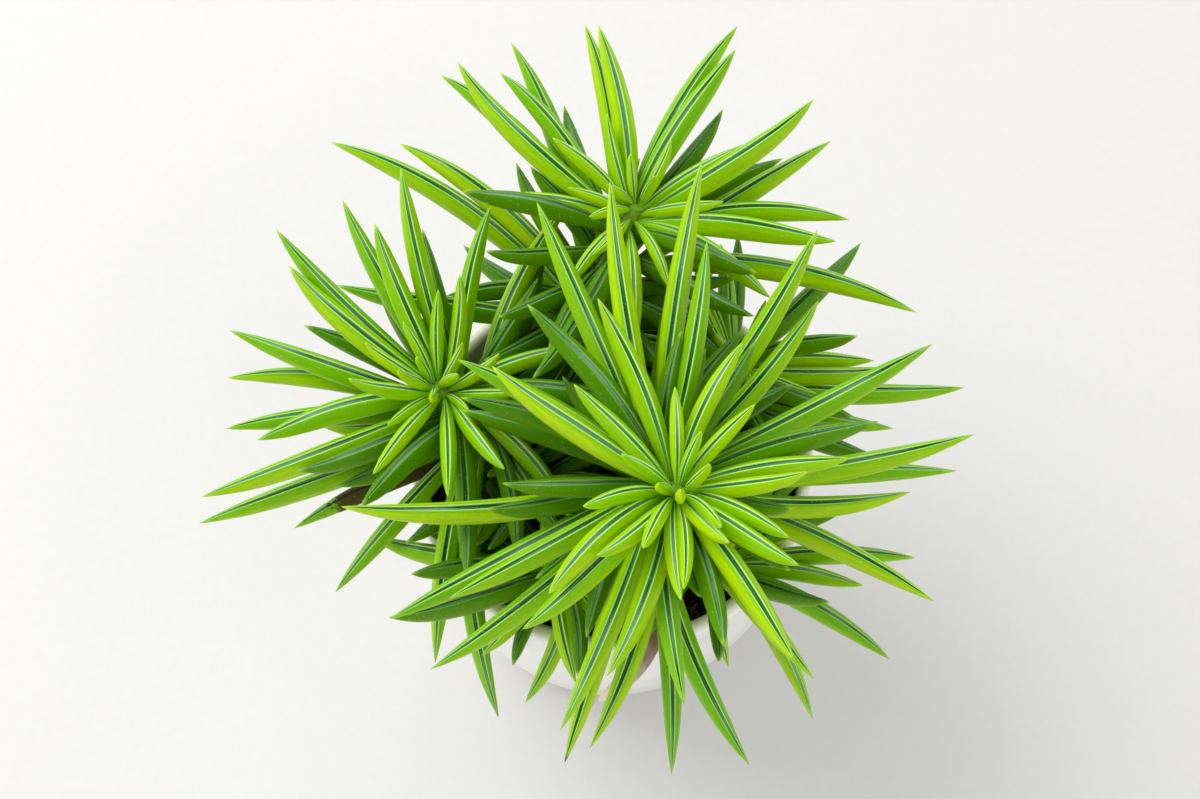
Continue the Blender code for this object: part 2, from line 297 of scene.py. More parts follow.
def read_stem(node):
    """The foot of the stem on the mix, its lean for each square metre of height, and its height."""
    shape = joined_mesh(node)
    top = max(vertex.co.z for vertex in shape.verts) - MIX_TOP
    foot = slice_centre(shape, MIX_TOP - FOOT_SLICE)
    foot.z = MIX_TOP
    reach = max(LEAST_REACH * top, top - TUFT_LENGTH)
    lean = (slice_centre(shape, MIX_TOP + reach) - foot) / reach**2
    lean.z = 0
    on_axis = [vertex.co.z - MIX_TOP for vertex in shape.verts
               if (vertex.co - foot - lean * (vertex.co.z - MIX_TOP) ** 2).xy.length < ON_AXIS]
    shape.free()
    return {"foot": foot, "lean": lean, "height": max(on_axis)}


def stem_at(stem, height):
    return stem["foot"] + stem["lean"] * height**2 + Vector((0, 0, height))


stems = {shoot: read_stem(f"{shoot}_stem") for shoot in SHOOTS}
for shoot, stem in stems.items():
    crown = stem_at(stem, stem["height"])
    print(f"{shoot}: crown at {crown.x / MM:.0f}, {crown.y / MM:.0f}, {crown.z / MM:.0f} mm")

# %% [markdown]
# ## Where the young leaves stand
#
# Between the grown leaves a shoot carries shorter and younger ones, down to the small bright ones
# round its growing tip. They are listed for each shoot by how far below the tip they leave the stem,
# the way that they point, how steeply they rise and how long they are, because no rule gives the way
# that this plant happened to grow. A midrib is stepped out along a heading that bends by a little.

# %% The young leaves of each shoot
# A row is (drop below the tip in mm, azimuth, rise, length in mm, bow). Azimuth 0 is +X and 90 is +Y.
# Bow is how far the heading bends down on each side of its middle, in degrees.
YOUNG = {
    "front": (
        (5, 150, 25, 62, 8), (6, 114, 27, 58, 8), (5, 5, 12, 50, 6), (4, -2, 25, 40, 6),
        (5, -20, 25, 40, 10), (5, -42, 22, 48, 10), (6, -46, 15, 64, 12), (5, -132, 20, 56, 12),
        (6, -142, 14, 64, 10), (30, -91, 0, 78, 22), (12, -103, 0, 62, 20), (3, -44, 38, 32, 8),
        (2, -62, 42, 28, 8), (5, -90, 12, 38, 14), (3, -98, 28, 34, 12), (3, -112, 36, 32, 10),
        (2, -136, 38, 38, 8), (3, -145, 38, 34, 8), (2, 170, 45, 34, 6), (1, 165, 50, 24, 4),
        (1, 125, 50, 30, 4), (2, 92, 45, 30, 4), (1, 60, 55, 22, 4), (2, 55, 45, 36, 4),
        (3, 40, 42, 34, 6), (3, 140, 35, 42, 6), (4, 64, 25, 46, 6), (0, 20, 64, 18, 4),
        (0, -80, 62, 18, 4), (0, 200, 66, 14, 4),
    ),
    "left": (
        (5, 144, 22, 62, 8), (6, 198, 5, 60, 8), (6, 111, 28, 58, 8), (25, 180, 8, 58, 8),
        (25, 168, 10, 52, 8), (4, 80, 40, 38, 6), (4, 186, 32, 34, 8), (4, -122, 15, 38, 12),
        (4, -86, 15, 40, 12), (5, -58, 20, 38, 10), (12, -47, -10, 50, 12), (4, -10, 25, 26, 8),
        (3, -50, 30, 14, 6), (3, -150, 30, 22, 8), (5, 15, 15, 42, 8), (22, -98, -16, 78, 22),
        (2, 102, 35, 32, 6), (1, 110, 45, 24, 4), (2, 150, 35, 28, 6), (3, 25, 35, 24, 6),
        (1, 200, 48, 20, 6), (1, 55, 52, 20, 4), (0, 0, 60, 15, 4), (0, 130, 64, 14, 4),
        (0, -90, 58, 16, 4),
    ),
    "back": (
        (50, 175, 8, 80, 10), (50, 185, 5, 46, 10), (6, 140, 16, 72, 10), (5, 105, 28, 60, 8),
        (6, 56, 26, 62, 8), (6, 27, 20, 68, 8), (6, -6, 2, 64, 12), (50, -10, -5, 68, 12),
        (3, 108, 40, 32, 6), (5, 174, 8, 42, 12), (4, 18, 20, 40, 10), (3, 140, 35, 34, 8),
        (5, -22, -4, 50, 16), (3, -12, 15, 28, 12), (4, -65, -5, 26, 16), (4, -128, 0, 30, 18),
        (6, -88, -15, 42, 34), (3, 175, 25, 22, 10), (3, -130, 10, 20, 16), (2, 60, 40, 25, 6),
        (1, 100, 55, 20, 4), (1, -150, 30, 18, 12), (0, 40, 62, 15, 4), (0, 160, 60, 14, 6),
    ),
    "right": (
        (4, 5, 0, 44, 8), (5, -15, 0, 50, 8), (3, 125, 25, 26, 8), (4, 115, 25, 28, 8),
        (4, 190, -5, 22, 12), (3, -15, 10, 28, 8), (3, 100, 26, 33, 8), (2, 60, 40, 22, 6),
        (2, -70, 30, 20, 8), (1, 20, 55, 15, 4), (1, 150, 55, 14, 4),
    ),
    "low_right": (
        (3, -22, 0, 48, 8), (4, -75, -20, 32, 16), (4, 20, 5, 30, 6), (3, 80, 30, 24, 8),
        (3, 140, 20, 22, 8), (2, -50, 35, 20, 8), (2, 35, 50, 18, 4), (1, 180, 50, 14, 4),
    ),
    "low_front": (
        (3, -52, -8, 32, 20), (4, -160, 0, 42, 12), (5, -178, 0, 60, 12), (3, -80, 4, 38, 26),
        (3, -128, 4, 36, 24), (3, -30, 8, 26, 14), (2, 100, 40, 20, 6), (2, 30, 35, 20, 8),
        (1, -100, 50, 14, 6), (1, 160, 52, 14, 4),
    ),
    "middle": (
        (1, 10, 40, 18, 6), (1, 82, 42, 16, 6), (1, 154, 38, 18, 6), (1, 226, 42, 17, 6),
        (1, 298, 40, 18, 6), (0, 46, 64, 12, 4), (0, 166, 66, 11, 4), (0, 286, 64, 12, 4),
    ),
}
print(f"{sum(len(rows) for rows in YOUNG.values())} young leaves")

# %% [markdown]
# Lower down, every stem is set with leaves all the way, so densely that little of the mix shows from
# above. These follow the rule that the plant follows: each leaf leaves the stem a golden angle on
# from the one before. They are drawn with a fixed seed, and get shorter farther down.

# %% The inner leaves of each shoot
INNER = {"front": 30, "left": 22, "back": 30, "right": 20, "low_right": 10, "low_front": 12, "middle": 18}
GOLDEN_ANGLE = 137.5
INNER_TOP, INNER_BOTTOM = 0.10, 0.80
INNER_RISE, INNER_LENGTH, INNER_BOW, INNER_STRAY = (8, 34), (44, 70), (6, 20), (-12, 12)
INNER_SHORTENING = 0.25
INNER_SEED = 5
inner_chance = random.Random(INNER_SEED)


def inner_rows(shoot):
    """Rows like those of the young leaves, by rule."""
    rows = []
    for number in range(INNER[shoot]):
        share = INNER_TOP + (INNER_BOTTOM - INNER_TOP) * number / INNER[shoot]
        drop = share * stems[shoot]["height"] / MM
        rise = inner_chance.uniform(*INNER_RISE)
        length = inner_chance.uniform(*INNER_LENGTH) * (1 - INNER_SHORTENING * share)
        azimuth = GOLDEN_ANGLE * number + inner_chance.uniform(*INNER_STRAY)
        rows.append((drop, azimuth, rise, length, inner_chance.uniform(*INNER_BOW)))
    return rows


inner = {shoot: inner_rows(shoot) for shoot in SHOOTS}
print(f"{sum(INNER.values())} inner leaves")

# %% Step out a midrib
LEAF_DEPTH = max(depth for _, _, depth in midribs.values())
FULL_LENGTH = 60 * MM
LEAST_DEPTH = 0.20
LEAF_STEPS = 10
SWAY = 9
# The last stretch of a leaf turns up by this many degrees.
HOOK, HOOK_START, HOOK_STRETCH = 22, 0.7, 0.3
LOWEST_LEAF = 6 * MM
STEM_SIDE = 1.5 * MM


def bearing(azimuth, rise):
    azimuth, rise = math.radians(azimuth), math.radians(rise)
    across = math.cos(rise)
    return Vector((across * math.cos(azimuth), across * math.sin(azimuth), math.sin(rise)))


def depth_for(length):
    """A short leaf is slimmer than a long one, but not in proportion."""
    return LEAF_DEPTH * min(1.0, LEAST_DEPTH + (1 - LEAST_DEPTH) * length / FULL_LENGTH)


def young_midrib(stem, row, sway, turn=0.0, lift=0.0):
    """(midrib points, upward directions, depth) of a young leaf on this stem."""
    drop, azimuth, rise, length, bow = row
    azimuth, rise, length = azimuth + turn, rise + lift, length * MM
    spot = stem_at(stem, max(stem["height"] - drop * MM, LOWEST_LEAF))
    spot = spot + bearing(azimuth + sway, 0) * STEM_SIDE
    spine, ups = [spot], []
    for step in range(LEAF_STEPS):
        along = (step + 0.5) / LEAF_STEPS
        hook = HOOK * max(0.0, along - HOOK_START) / HOOK_STRETCH
        heading = bearing(azimuth + sway * (1 - 2 * along), rise + bow * (1 - 2 * along) + hook)
        side = heading.cross(Vector((0, 0, 1))).normalized()
        ups.append(side.cross(heading))
        spot = spot + heading * length / LEAF_STEPS
        spine.append(spot)
    ups.append(ups[-1])
    return spine, ups, depth_for(length)


# %% [markdown]
# Leaves that are listed one by one would cut through each other here and there, and real ones push
# each other aside as they grow. So each young leaf is tried as a slim wedge, first where its row puts
# it and then turned and lifted by a few degrees, and it stays in the first place that is clear. Where
# none is, it stays in the place that touches least. An inner leaf, which may be turned by more, is left
# out if it still touches much. A leaf's foot isn't tested, because it is among its neighbours.

# %% Find each young leaf its room
CROSS_SHARE = 0.31
WEDGE_POINT, WEDGE_SWELL = 0.4, 3


def wedge(spine, ups, depth, first=2):
    """A slim three-sided solid round a midrib, for testing what a leaf touches."""
    points, faces = [], []
    steps = len(spine) - 1
    for step in range(first, steps):
        heading = (spine[step + 1] - spine[step - 1]).normalized()
        side = heading.cross(ups[step]).normalized()
        full = depth * min(1.0, WEDGE_POINT + WEDGE_SWELL * (1 - step / steps))
        crest, half = spine[step] + ups[step] * full * (1 - KEEL_SHARE), side * full * CROSS_SHARE * 0.5
        points += [crest - half, spine[step] - ups[step] * full * KEEL_SHARE, crest + half]
    points.append(spine[-1])
    rings = steps - first
    for ring in range(rings - 1):
        for corner in range(3):
            after = (corner + 1) % 3
            low, high = ring * 3, ring * 3 + 3
            faces += [(low + corner, low + after, high + after), (low + corner, high + after, high + corner)]
    faces += [(rings * 3 - 3 + corner, rings * 3 - 3 + (corner + 1) % 3, rings * 3) for corner in range(3)]
    return BVHTree.FromPolygons([tuple(point) for point in points], faces)


def node_tree(node):
    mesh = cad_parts[node].data
    return BVHTree.FromPolygons([tuple(vertex.co) for vertex in mesh.vertices],
                                [tuple(face.vertices) for face in mesh.polygons])


def moves_within(turns, lifts):
    """Turns and lifts in degrees, the smallest first."""
    return sorted(((turn, lift) for turn in turns for lift in lifts),
                  key=lambda move: (move[0] ** 2 + move[1] ** 2, move))


LOWEST, HIGHEST = (Vector(corner) for corner in cad_box)
NO_ROOM = 1000
# The moves that a leaf may make, and the number of touches that leaves it out.
TRIES = (("young", YOUNG, moves_within(range(-14, 15, 2), range(-12, 13, 3)), NO_ROOM),
         ("inner", inner, moves_within(range(-48, 49, 6), range(-24, 25, 6)), 7))


def roomy_midrib(stem, row, sway, taken, moves):
    """The midrib in the first clear place, and how many face pairs it still touches there."""
    best = (NO_ROOM, None, None)
    for turn, lift in moves:
        midrib = young_midrib(stem, row, sway, turn, lift)
        tip = midrib[0][-1]
        if any(not low < value < high for low, value, high in zip(LOWEST, tip, HIGHEST)):
            continue
        trial = wedge(*midrib)
        touches = sum(len(trial.overlap(other)) for other in taken)
        if touches < best[0]:
            best = (touches, midrib, trial)
        if touches == 0:
            break
    return best


taken = [node_tree(name) for name in GROWN + ["pot", "soil"]]
placed = {}
SWAY_SEED = 3
sway_chance = random.Random(SWAY_SEED)
for kind, rows_of, moves, most_touches in TRIES:
    crowded = left_out = 0
    for shoot in SHOOTS:
        placed[kind, shoot] = []
        for number, row in enumerate(rows_of[shoot]):
            sway = sway_chance.uniform(0.3, 1.6) * SWAY * (-1) ** number
            touches, midrib, trial = roomy_midrib(stems[shoot], row, sway, taken, moves)
            if touches >= most_touches:
                left_out += 1
                continue
            placed[kind, shoot].append((midrib, row[3]))
            taken.append(trial)
            crowded += touches > 0
    print(f"{kind} leaves: {crowded} still touch a neighbour, {left_out} found no room")

# %% [markdown]
# ## The shape of a leaf
#
# All the leaves have one shape, so one tree grows them. Its source is a mesh of edges, one chain for
# each midrib, which carries what differs from leaf to leaf. Mesh to Curve makes splines of the
# chains, and Curve to Mesh sweeps a ring along them. The ring's points are then set across and up
# from the midrib by two curves that draw half a section, from the middle of the window over the ridge
# and the flank down to the keel. This was chosen over a sweep with a fixed profile, because a sweep
# decides by itself which way is up, and a leaf's window has to face the way that its CAD leaf does.
# The tree also stores where each point is on the leaf, which the material needs.

# %% The section and the taper, in shares
# Half a section, from the window's middle to the keel: the way round, how far across as a share of
# half the width, and how high over the keel as a share of the depth.
SECTION = ((0.0, 0.0, 0.905), (0.08, 0.08, 0.92), (0.155, 0.16, 0.965), (0.23, 0.25, 1.0),
           (0.31, 0.37, 0.985), (0.385, 0.53, 0.92), (0.46, 0.71, 0.83), (0.54, 0.87, 0.72),
           (0.615, 0.97, 0.60), (0.69, 1.0, 0.48), (0.77, 0.93, 0.34), (0.85, 0.74, 0.19),
           (0.925, 0.42, 0.06), (1.0, 0.0, 0.0))
# Along the leaf: a narrow foot, a long full middle, and a drawn-out point.
LEAF_TAPER = ((0.0, 0.0), (0.015, 0.28), (0.10, 0.46), (0.28, 0.86), (0.45, 1.0), (0.62, 0.96),
              (0.80, 0.72), (0.91, 0.40), (0.97, 0.17), (1.0, 0.0))
HALF_WIDTH_SHARE = 0.36
STATIONS = 44
YOUNG_STATIONS = 30
RING_POINTS = 36

# %% The leaf tree: a ring swept along each midrib
leaf_tree, given = new_tree("pod_leaf", [
    ("Stations", "NodeSocketInt"), ("Half width share", "NodeSocketFloat"), ("Skin", "NodeSocketMaterial"),
])
VECTOR_FIELD = {"data_type": "FLOAT_VECTOR"}
midrib = add(leaf_tree, "GeometryNodeMeshToCurve", [given["Geometry"]])
midrib = add(leaf_tree, "GeometryNodeCurveSplineType", [midrib], spline_type="CATMULL_ROM")
midrib = add(leaf_tree, "GeometryNodeResampleCurve", {0: midrib, "Count": given["Stations"]})
up = add(leaf_tree, "GeometryNodeInputNamedAttribute", {"Name": "up"}, **VECTOR_FIELD)
tangent = add(leaf_tree, "GeometryNodeInputTangent")
side = add(leaf_tree, "ShaderNodeVectorMath", [tangent, up], operation="CROSS_PRODUCT")
side = add(leaf_tree, "ShaderNodeVectorMath", [side], operation="NORMALIZE")
here = add(leaf_tree, "GeometryNodeInputPosition")
for name, field in (("side", side), ("spine", here)):
    midrib = add(leaf_tree, "GeometryNodeStoreNamedAttribute", {0: midrib, "Name": name, "Value": field},
                 **VECTOR_FIELD)
ring = add(leaf_tree, "GeometryNodeCurvePrimitiveCircle", {"Resolution": RING_POINTS, "Radius": MM})
turn = add(leaf_tree, "GeometryNodeInputIndex")
turn = add(leaf_tree, "ShaderNodeMath", [turn, float(RING_POINTS)], operation="DIVIDE")
ring = add(leaf_tree, "GeometryNodeStoreNamedAttribute", {0: ring, "Name": "turn", "Value": turn})
pod = add(leaf_tree, "GeometryNodeCurveToMesh", {0: midrib, 1: ring, "Fill Caps": True})

# %% The leaf tree: the ring's points set to the section
# The turn goes 0 to 1 round the ring, from the window's middle down one side and up the other. On
# each side, the round runs from 0 at the window's middle to 1 at the keel.
turn = add(leaf_tree, "GeometryNodeInputNamedAttribute", {"Name": "turn"})
signed = add(leaf_tree, "ShaderNodeMath", [turn, 2.0, -1.0], operation="MULTIPLY_ADD")
hand = add(leaf_tree, "ShaderNodeMath", [signed], operation="SIGN")
away = add(leaf_tree, "ShaderNodeMath", [signed], operation="ABSOLUTE")
round_to_keel = add(leaf_tree, "ShaderNodeMath", [1.0, away], operation="SUBTRACT")
along = add(leaf_tree, "GeometryNodeInputNamedAttribute", {"Name": "along"})
across = add(leaf_tree, "ShaderNodeFloatCurve", {"Value": round_to_keel})
rise = add(leaf_tree, "ShaderNodeFloatCurve", {"Value": round_to_keel})
taper = add(leaf_tree, "ShaderNodeFloatCurve", {"Value": along})
set_curve(across.node.mapping, [(place, width) for place, width, _ in SECTION])
set_curve(rise.node.mapping, [(place, height) for place, _, height in SECTION])
set_curve(taper.node.mapping, LEAF_TAPER)
depth = add(leaf_tree, "GeometryNodeInputNamedAttribute", {"Name": "depth"})
depth = add(leaf_tree, "ShaderNodeMath", [depth, taper], operation="MULTIPLY")
half_width = add(leaf_tree, "ShaderNodeMath", [depth, given["Half width share"]], operation="MULTIPLY")
across = add(leaf_tree, "ShaderNodeMath", [across, hand], operation="MULTIPLY")
out = add(leaf_tree, "ShaderNodeMath", [across, half_width], operation="MULTIPLY")
over = add(leaf_tree, "ShaderNodeMath", [rise, KEEL_SHARE], operation="SUBTRACT")
over = add(leaf_tree, "ShaderNodeMath", [over, depth], operation="MULTIPLY")
place = add(leaf_tree, "GeometryNodeInputNamedAttribute", {"Name": "spine"}, **VECTOR_FIELD)
for name, distance in (("side", out), ("up", over)):
    direction = add(leaf_tree, "GeometryNodeInputNamedAttribute", {"Name": name}, **VECTOR_FIELD)
    shift = add(leaf_tree, "ShaderNodeVectorMath", {0: direction, "Scale": distance}, operation="SCALE")
    place = add(leaf_tree, "ShaderNodeVectorMath", [place, shift], operation="ADD")
pod = add(leaf_tree, "GeometryNodeSetPosition", {"Geometry": pod, "Position": place})

# %% The leaf tree: what the material reads, and the end
section = add(leaf_tree, "ShaderNodeCombineXYZ", {"X": across, "Y": rise, "Z": round_to_keel})
pod = add(leaf_tree, "GeometryNodeStoreNamedAttribute", {0: pod, "Name": "section", "Value": section},
          **VECTOR_FIELD)
pod = add(leaf_tree, "GeometryNodeMergeByDistance", {"Geometry": pod, "Distance": 0.01 * MM})
pod = add(leaf_tree, "GeometryNodeRealizeInstances", {"Geometry": pod})
pod = add(leaf_tree, "GeometryNodeSetMaterial", {"Geometry": pod, "Material": given["Skin"]})
add(leaf_tree, "NodeGroupOutput", {"Geometry": pod})
print(f"the leaf tree has {len(leaf_tree.nodes)} nodes")

# %% [markdown]
# A chain of edges for each midrib carries what the tree and the material read: how far along each
# point is, the way up, the depth of the leaf, and three things that differ from leaf to leaf. Tone
# makes one leaf yellower than the next, youth makes the small ones paler, and scorch is how much of
# the leaf has died back from its point. A youth below zero marks an inner leaf, which the material
# darkens with painted shade.


# %% Grow leaves along midribs
def chains(leaves):
    """A mesh of one chain for each leaf: (spine, ups, depth, tone, youth, scorch)."""
    points, edges, ups = [], [], []
    numbers = {name: [] for name in ("along", "depth", "tone", "youth", "scorch", "length")}
    for spine, leaf_ups, deep, tone, youth, scorch in leaves:
        first, steps = len(points), len(spine) - 1
        length = sum((b - a).length for a, b in zip(spine, spine[1:]))
        points += spine
        edges += [(first + at, first + at + 1) for at in range(steps)]
        for step, up in enumerate(leaf_ups):
            ups.extend(up)
            for name, number in zip(numbers, (step / steps, deep, tone, youth, scorch, length)):
                numbers[name].append(number)
    mesh = bpy.data.meshes.new("chains")
    mesh.from_pydata([tuple(point) for point in points], edges, [])
    for name, row in numbers.items():
        mesh.attributes.new(name, "FLOAT", "POINT").data.foreach_set("value", row)
    mesh.attributes.new("up", "FLOAT_VECTOR", "POINT").data.foreach_set("vector", ups)
    return mesh


def grow_leaves(name, leaves, stations, skin, half_width=HALF_WIDTH_SHARE):
    piece = grown_from(chains(leaves), leaf_tree,
                       {"Stations": stations, "Half width share": half_width, "Skin": skin}, name)
    open_edges = turn_out(piece.data)
    if open_edges:
        print(f"{name} has {open_edges} open edges")
    return piece


# %% [markdown]
# ## Leaf skin
#
# The skin is living tissue under a thin wax, smooth and glossy, with light going a little way into
# it. On the flanks it is a full green, yellower towards the keel. The ridges are nearly white, for
# there the skin is thick over clear tissue. The window between them is dark, because one looks into
# the leaf, and a bluish sheen is painted on it for the reflection in its wax. The inner leaves get
# painted shade, a deeper green. Fine veins run along the leaf. The colours follow the section that
# the tree stored, so that the stripes keep to the ridges whichever way a leaf bends: one colour ramp
# goes from the window's middle round to the keel, for old leaves, and one for young ones.


# %% Start a material
def new_material(name):
    """A material, its node tree and its shader."""
    made = bpy.data.materials.new(name)
    made.use_nodes = True
    return made, made.node_tree, made.node_tree.nodes["Principled BSDF"]


def relief(tree, pattern, rough, strength, height, span=(0.3, 0.7)):
    """Roughness from a pattern, whose span goes to the two values of rough, and a bump from it."""
    dull = add(tree, "ShaderNodeMapRange", [pattern, *span, *rough])
    bump = add(tree, "ShaderNodeBump", {"Height": pattern, "Strength": strength, "Distance": height})
    return {"Roughness": dull, "Normal": bump}


# %% The leaf material
VEIN_SPACING = 0.55 * MM
SPECK_SPACING = 1.6 * MM
OLD_ACROSS = ((0.0, "#145208"), (0.15, "#1C640C"), (0.19, "#B4DC7C"), (0.235, "#A6D45E"), (0.28, "#62AC00"),
              (0.50, "#70B400"), (0.72, "#A0D000"), (1.0, "#CCE800"))
YOUNG_ACROSS = ((0.0, "#4C8A48"), (0.14, "#5A9656"), (0.19, "#DCF2AC"), (0.24, "#C4EA70"), (0.30, "#92D000"),
                (0.50, "#90CE00"), (0.72, "#B0DC00"), (1.0, "#D6F010"))


def leaf_material(name, roughness, blight=0.0):
    """Waxy leaf skin: coats of colour, each laid over the last. Blight is how brown the dead skin is."""
    made, tree, shader = new_material(name)
    section = add(tree, "ShaderNodeAttribute", out="Vector", attribute_name="section")
    way_round = add(tree, "ShaderNodeSeparateXYZ", [section], out="Z")
    own = {label: add(tree, "ShaderNodeAttribute", out="Fac", attribute_name=label)
           for label in ("along", "tone", "youth", "scorch", "length", "depth")}
    old = add(tree, "ShaderNodeValToRGB", [way_round])
    new = add(tree, "ShaderNodeValToRGB", [way_round])
    set_stops(old.node.color_ramp, OLD_ACROSS)
    set_stops(new.node.color_ramp, YOUNG_ACROSS)
    skin = add(tree, "ShaderNodeMix", [own["youth"], old, new], data_type="RGBA")

    # From leaf to leaf, the flanks go yellower, and every leaf is paler at its foot.
    flank = add(tree, "ShaderNodeMapRange", [way_round, 0.30, 0.42])
    yellow = add(tree, "ShaderNodeMath", [own["tone"], flank], operation="MULTIPLY")
    yellow = add(tree, "ShaderNodeMath", [yellow, 0.78], operation="MULTIPLY")
    foot = add(tree, "ShaderNodeMapRange", [own["along"], 0.05, 0.35, 0.65, 0.0])

    # A negative youth marks an inner leaf, and painted shade darkens it to a deeper green: it stands
    # for the shadow that the leaves around it cast.
    painted_inner_shade = add(tree, "ShaderNodeMapRange", [own["youth"], -1.0, 0.0, 0.62, 0.0])

    # The place on the skin in vein widths, so that streaks run along the leaf.
    length_m = add(tree, "ShaderNodeMath", [own["along"], own["length"]], operation="MULTIPLY")
    girth_m = add(tree, "ShaderNodeMath", [way_round, own["depth"]], operation="MULTIPLY")
    on_skin = add(tree, "ShaderNodeCombineXYZ", [girth_m, length_m, own["tone"]])
    on_skin = add(tree, "ShaderNodeMapping", {"Vector": on_skin,
                                              "Scale": (1 / VEIN_SPACING, 1 / (14 * VEIN_SPACING), 40.0)})
    veins = add(tree, "ShaderNodeTexNoise", {"Vector": on_skin, "Scale": 1.0, "Detail": 3.0})
    streak = add(tree, "ShaderNodeMapRange", [veins, 0.38, 0.68, 0.0, 0.28])
    streak = add(tree, "ShaderNodeMath", [streak, flank], operation="MULTIPLY")

    # A painted sheen, pale blue-grey, lies on the window in patches, most towards the point: it stands
    # for the reflection of the bright room in the wax.
    window = add(tree, "ShaderNodeMapRange", [way_round, 0.13, 0.19, 1.0, 0.0])
    cloud = add(tree, "ShaderNodeTexNoise", {"Vector": on_skin, "Scale": 0.30, "Detail": 2.0})
    cloud = add(tree, "ShaderNodeMapRange", [cloud, 0.42, 0.66])
    farther = add(tree, "ShaderNodeMapRange", [own["along"], 0.30, 0.95, 0.20, 0.80])
    painted_window_sheen = add(tree, "ShaderNodeMath", [cloud, farther], operation="MULTIPLY")
    painted_window_sheen = add(tree, "ShaderNodeMath", [painted_window_sheen, window], operation="MULTIPLY")

    # Pale dots stand in the skin of the flanks.
    place = add(tree, "ShaderNodeTexCoord", out="Object")
    dots = add(tree, "ShaderNodeTexVoronoi", {"Vector": place, "Scale": 1 / SPECK_SPACING}, out="Distance")
    dots = add(tree, "ShaderNodeMapRange", [dots, 0.08, 0.18, 0.28, 0.0])

    # The very point is yellow-green, and where the leaf has died back it is brown. A blighted leaf is
    # brown from its foot to near its point, and the brown ends in freckles.
    point = add(tree, "ShaderNodeMapRange", [own["along"], 0.94, 1.0, 0.0, 0.7])
    edge = add(tree, "ShaderNodeMath", [veins, 0.08, own["along"]], operation="MULTIPLY_ADD")
    edge = add(tree, "ShaderNodeMath", [edge, own["scorch"]], operation="ADD")
    dead = add(tree, "ShaderNodeMapRange", [edge, 1.05, 1.08])
    # The #A9CFB4 coat is a painted sheen on the window, and the #2C6200 coat is painted shade on the inner
    # leaves. The other coats are the skin's own colour.
    coats = [(yellow, "#C0E000"), (foot, "#8CCA00"), (painted_inner_shade, "#2C6200"), (streak, "#4E9000"),
             (painted_window_sheen, "#A9CFB4"), (dots, "#DDF2A0"), (point, "#B7D94B"), (dead, "#5B3A1C")]
    if blight:
        freckle = add(tree, "ShaderNodeTexNoise", {"Vector": place, "Scale": 1 / (3 * MM), "Detail": 6.0,
                                                   "Roughness": 0.75})
        behind = add(tree, "ShaderNodeMapRange", [own["along"], 0.72, 0.94, 0.16, -0.30])
        freckle = add(tree, "ShaderNodeMath", [freckle, behind], operation="ADD")
        rot = add(tree, "ShaderNodeMapRange", [freckle, 0.47, 0.56, 0.0, blight])
        coats.append((rot, "#4A3416"))
        dead = add(tree, "ShaderNodeMath", [dead, rot], operation="MAXIMUM")
    for share, code in coats:
        skin = add(tree, "ShaderNodeMix", [share, skin, code], data_type="RGBA")

    # Dead skin has lost its wax. The rest is glossy, and the veins stand up from it by a little.
    wax = relief(tree, veins, (roughness, roughness + 0.12), 0.35, 0.12 * MM)
    gloss = add(tree, "ShaderNodeMath", [dead, 0.35, wax["Roughness"]], operation="MULTIPLY_ADD")
    feed(shader, {**wax, "Base Color": skin, "Roughness": gloss, "IOR": 1.40, "Specular IOR Level": 0.24,
                  "Subsurface Weight": 0.20, "Subsurface Radius": (0.45, 1.0, 0.15),
                  "Subsurface Scale": 2.0 * MM})
    return made


leaf_skin = leaf_material("waxy_leaf_skin", roughness=0.28)
blighted_skin = leaf_material("blighted_leaf_skin", roughness=0.32, blight=0.92)
print(f"the leaf skin has {len(leaf_skin.node_tree.nodes)} nodes")

# %% [markdown]
# The grown leaves become one piece each, so that each stands for its own node. A fixed seed draws
# how yellow each is. One leaf on the left has half died back, and two have lost their points to
# dryness. The young leaves of a shoot are one piece, because they grew together at its tip.

# %% Grow every leaf
SEED = 11
# How young a leaf counts as falls from over 1 at no length by its share of this length in mm.
YOUTH_START, YOUTH_LENGTH = 1.25, 60
# An inner leaf gets this youth, which the material turns into painted shade, a deeper green.
INNER_PAINTED_SHADE = -1.0
chance = random.Random(SEED)
SCORCHED = {"front_leaf_22": 0.05, "left_leaf_12": 0.04}
BLIGHTED = "left_leaf_13"

for name in GROWN:
    spine, ups, deep = midribs[name]
    leaf = (spine, ups, deep, chance.random(), 0.15 * chance.random(), SCORCHED.get(name, 0.0))
    piece = grow_leaves(f"{name}_skin", [leaf], STATIONS, blighted_skin if name == BLIGHTED else leaf_skin)
    finish_piece(piece, "dry_leaf" if name == BLIGHTED else "leaf_skin", name)

for (kind, shoot), rows in placed.items():
    leaves = []
    for (spine, ups, deep), length in rows:
        # An inner leaf gets the youth that asks for painted shade, and a low tone, less yellow, as part of
        # the same painted shade.
        youth = min(1.0, max(0.0, YOUTH_START - length / YOUTH_LENGTH)) if kind == "young" else INNER_PAINTED_SHADE
        tone = chance.random() if kind == "young" else 0.3 * chance.random()
        leaves.append((spine, ups, deep, tone, youth, 0.0))
    piece = grow_leaves(f"{shoot}_{kind}_leaves", leaves, YOUNG_STATIONS, leaf_skin)
    finish_piece(piece, "leaf_skin")
    print(f"{piece.name}: {len(leaves)} leaves, {len(piece.data.polygons)} faces")

# %% [markdown]
# One leaf has died and lies over the rim of the pot, thin and limp. It is the same shape, but flat:
# its depth has dried away and its width hasn't. Its midrib goes up over the lip and hangs outside.

